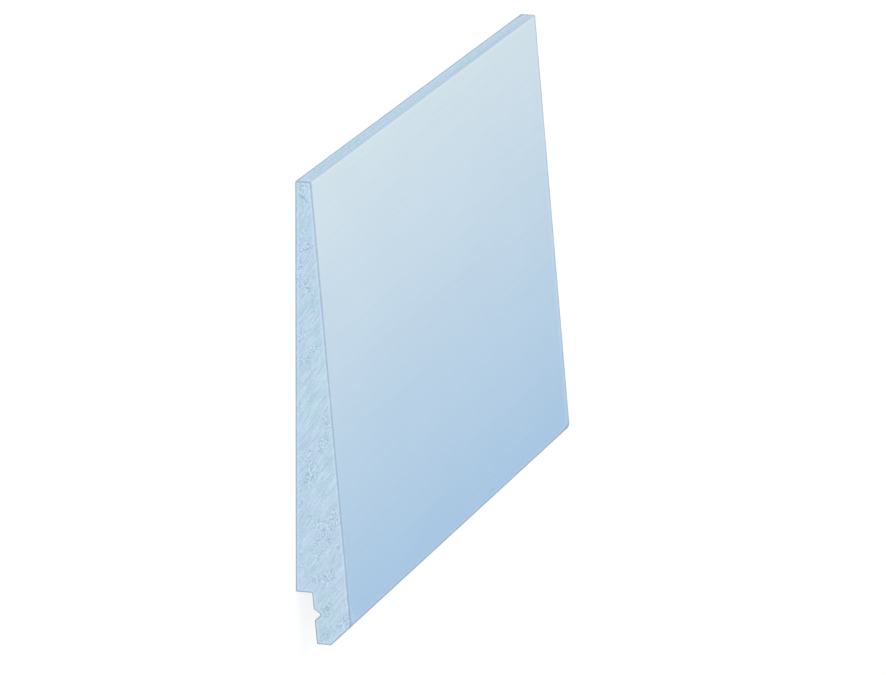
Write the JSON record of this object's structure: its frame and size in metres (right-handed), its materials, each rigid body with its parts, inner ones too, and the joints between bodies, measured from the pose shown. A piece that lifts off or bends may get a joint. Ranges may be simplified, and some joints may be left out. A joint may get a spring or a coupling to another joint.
{
  "type": "chamfered cladding board",
  "caption": "Tapered cladding board with a chamfered drip edge, and a rebate with an anti-capillary groove that laps over the thin edge of the next board.",
  "frame": {"origin": "on the back face, under the middle of the board's bounding box", "axes": "+X along the board, +Y across it towards the thin edge, +Z out through the weather face"},
  "size_m": [0.3, 0.18, 0.0219],
  "materials": {
    "primed_timber": "satin"
  },
  "bodies": {
    "root": {"cladding_board": "primed_timber"}
  },
  "joints": []
}
